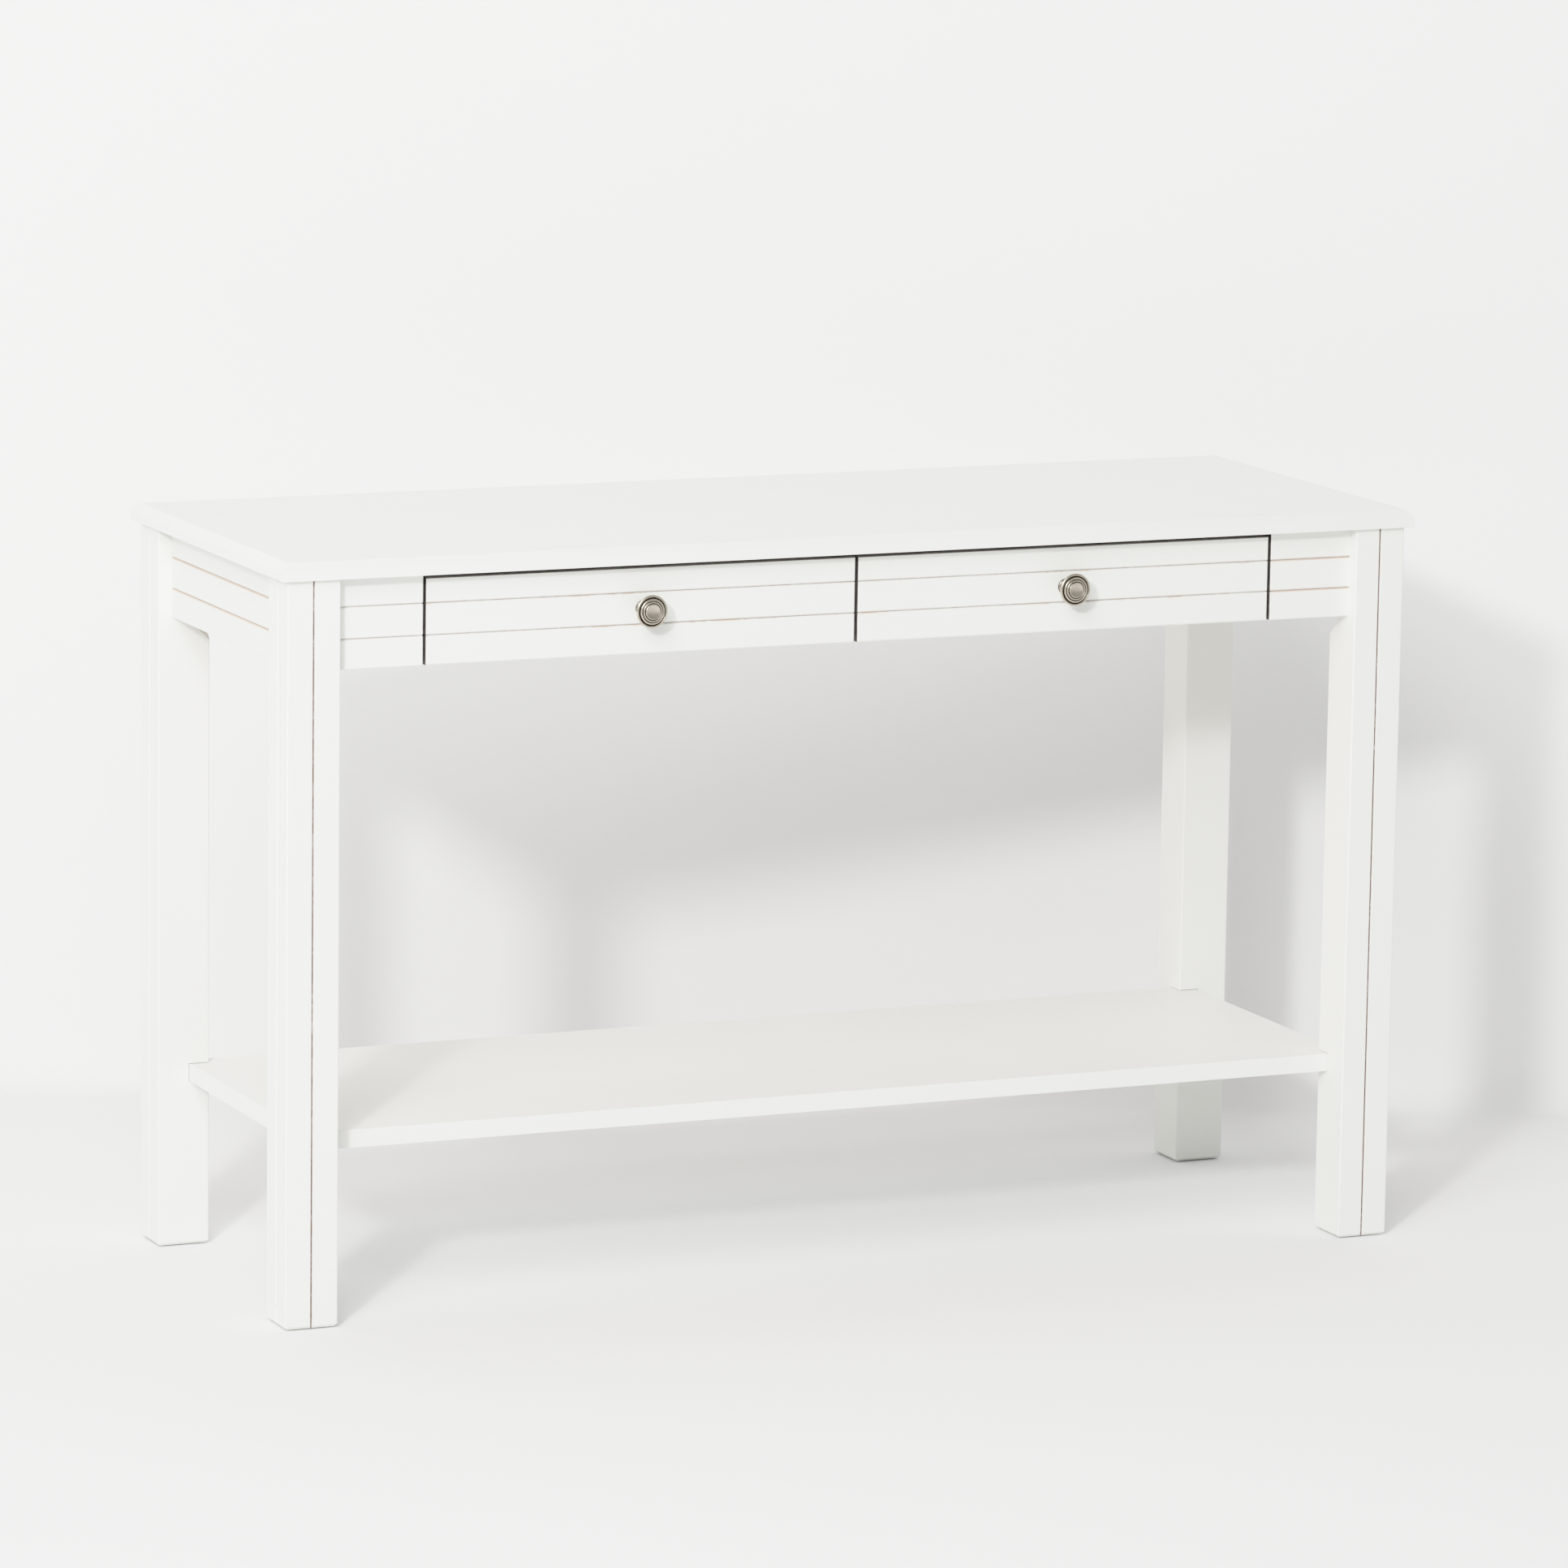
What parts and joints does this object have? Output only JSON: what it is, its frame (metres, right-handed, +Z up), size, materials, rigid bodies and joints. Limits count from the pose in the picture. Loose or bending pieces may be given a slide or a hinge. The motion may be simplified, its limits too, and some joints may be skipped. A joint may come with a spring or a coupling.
{
  "type": "console table",
  "caption": "Long narrow side table on four square legs, with a bevelled top, grooved aprons, flush drawers on roller runners and a low shelf.",
  "frame": {"origin": "on the floor, below the middle of the table top", "axes": "+X along the table's length to the right, +Y from the front to the back, +Z up"},
  "size_m": [1.21, 0.4494, 0.75],
  "materials": {
    "painted_wood": "warm white satin paint, rubbed through in the grooves",
    "pine": "bare sanded softwood",
    "plywood": "thin birch plywood",
    "beech": "fluted beech",
    "pewter": "brushed pewter",
    "white_steel": "epoxy coated",
    "zinc_steel": "bright zinc",
    "nylon": "natural nylon",
    "glide_plastic": "brown polyethylene"
  },
  "bodies": {
    "frame": {"angle_brackets": "zinc_steel", "bracket_screws": "zinc_steel", "cabinet_roller_axles": "zinc_steel", "cabinet_runner_left_1": "white_steel", "cabinet_runner_left_2": "white_steel", "cabinet_runner_right_1": "white_steel", "cabinet_runner_right_2": "white_steel", "cabinet_runner_screws": "zinc_steel", "corner_brackets": "zinc_steel", "divider_centre": "pine", "divider_left": "pine", "divider_right": "pine", "flange_nuts": "zinc_steel", "frame_dowels": "beech", "front_panel_left": "painted_wood", "front_panel_right": "painted_wood", "front_top_rail": "pine", "hanger_bolts": "zinc_steel", "leg_front_left": "painted_wood", "leg_front_right": "painted_wood", "leg_glides": "glide_plastic", "leg_rear_left": "painted_wood", "leg_rear_right": "painted_wood", "rear_apron": "painted_wood", "shelf": "painted_wood", "side_apron_left": "painted_wood", "side_apron_right": "painted_wood", "top_panel": "painted_wood"},
    "drawer_left": {"drawer_left_back": "pine", "drawer_left_bottom": "plywood", "drawer_left_dowels": "beech", "drawer_left_front": "painted_wood", "drawer_left_knob": "pewter", "drawer_left_knob_screw": "zinc_steel", "drawer_left_roller_axles": "zinc_steel", "drawer_left_runner_left": "white_steel", "drawer_left_runner_right": "white_steel", "drawer_left_runner_screws": "zinc_steel", "drawer_left_side_left": "pine", "drawer_left_side_right": "pine"},
    "drawer_right": {"drawer_right_back": "pine", "drawer_right_bottom": "plywood", "drawer_right_dowels": "beech", "drawer_right_front": "painted_wood", "drawer_right_knob": "pewter", "drawer_right_knob_screw": "zinc_steel", "drawer_right_roller_axles": "zinc_steel", "drawer_right_runner_left": "white_steel", "drawer_right_runner_right": "white_steel", "drawer_right_runner_screws": "zinc_steel", "drawer_right_side_left": "pine", "drawer_right_side_right": "pine"},
    "front_roller_left_1": {"front_roller_left_1": "nylon"},
    "front_roller_left_2": {"front_roller_left_2": "nylon"},
    "front_roller_right_1": {"front_roller_right_1": "nylon"},
    "front_roller_right_2": {"front_roller_right_2": "nylon"},
    "drawer_left_rear_roller_left": {"drawer_left_rear_roller_left": "nylon"},
    "drawer_left_rear_roller_right": {"drawer_left_rear_roller_right": "nylon"},
    "drawer_right_rear_roller_left": {"drawer_right_rear_roller_left": "nylon"},
    "drawer_right_rear_roller_right": {"drawer_right_rear_roller_right": "nylon"}
  },
  "joints": [
    {"name": "drawer_left_slide", "type": "slide", "parent": "frame", "child": "drawer_left", "axis": [0, -1, 0], "range_m": [0, 0.25]},
    {"name": "drawer_right_slide", "type": "slide", "parent": "frame", "child": "drawer_right", "axis": [0, -1, 0], "range_m": [0, 0.25]},
    {"name": "front_roller_left_1_spin", "type": "hinge", "parent": "frame", "child": "front_roller_left_1", "pos_m": [-0.4493, -0.168, 0.659], "axis": [1, 0, 0], "range_deg": [0, 1620]},
    {"name": "front_roller_left_2_spin", "type": "hinge", "parent": "frame", "child": "front_roller_left_2", "pos_m": [-0.0142, -0.168, 0.659], "axis": [1, 0, 0], "range_deg": [0, 1620]},
    {"name": "front_roller_right_1_spin", "type": "hinge", "parent": "frame", "child": "front_roller_right_1", "pos_m": [0.0142, -0.168, 0.659], "axis": [1, 0, 0], "range_deg": [0, 1620]},
    {"name": "front_roller_right_2_spin", "type": "hinge", "parent": "frame", "child": "front_roller_right_2", "pos_m": [0.4493, -0.168, 0.659], "axis": [1, 0, 0], "range_deg": [0, 1620]},
    {"name": "drawer_left_rear_roller_left_spin", "type": "hinge", "parent": "drawer_left", "child": "drawer_left_rear_roller_left", "pos_m": [-0.448, 0.15, 0.659], "axis": [1, 0, 0], "range_deg": [0, 1620]},
    {"name": "drawer_left_rear_roller_right_spin", "type": "hinge", "parent": "drawer_left", "child": "drawer_left_rear_roller_right", "pos_m": [-0.0155, 0.15, 0.659], "axis": [1, 0, 0], "range_deg": [0, 1620]},
    {"name": "drawer_right_rear_roller_right_spin", "type": "hinge", "parent": "drawer_right", "child": "drawer_right_rear_roller_right", "pos_m": [0.448, 0.15, 0.659], "axis": [1, 0, 0], "range_deg": [0, 1620]},
    {"name": "drawer_right_rear_roller_left_spin", "type": "hinge", "parent": "drawer_right", "child": "drawer_right_rear_roller_left", "pos_m": [0.0155, 0.15, 0.659], "axis": [1, 0, 0], "range_deg": [0, 1620]}
  ],
  "couplings": [
    {"joint": "front_roller_left_1_spin", "follows": "drawer_left_slide", "rad_per_m": 111.11},
    {"joint": "front_roller_left_2_spin", "follows": "drawer_left_slide", "rad_per_m": 111.11},
    {"joint": "front_roller_right_1_spin", "follows": "drawer_right_slide", "rad_per_m": 111.11},
    {"joint": "front_roller_right_2_spin", "follows": "drawer_right_slide", "rad_per_m": 111.11},
    {"joint": "drawer_left_rear_roller_left_spin", "follows": "drawer_left_slide", "rad_per_m": 111.11},
    {"joint": "drawer_left_rear_roller_right_spin", "follows": "drawer_left_slide", "rad_per_m": 111.11},
    {"joint": "drawer_right_rear_roller_right_spin", "follows": "drawer_right_slide", "rad_per_m": 111.11},
    {"joint": "drawer_right_rear_roller_left_spin", "follows": "drawer_right_slide", "rad_per_m": 111.11}
  ]
}
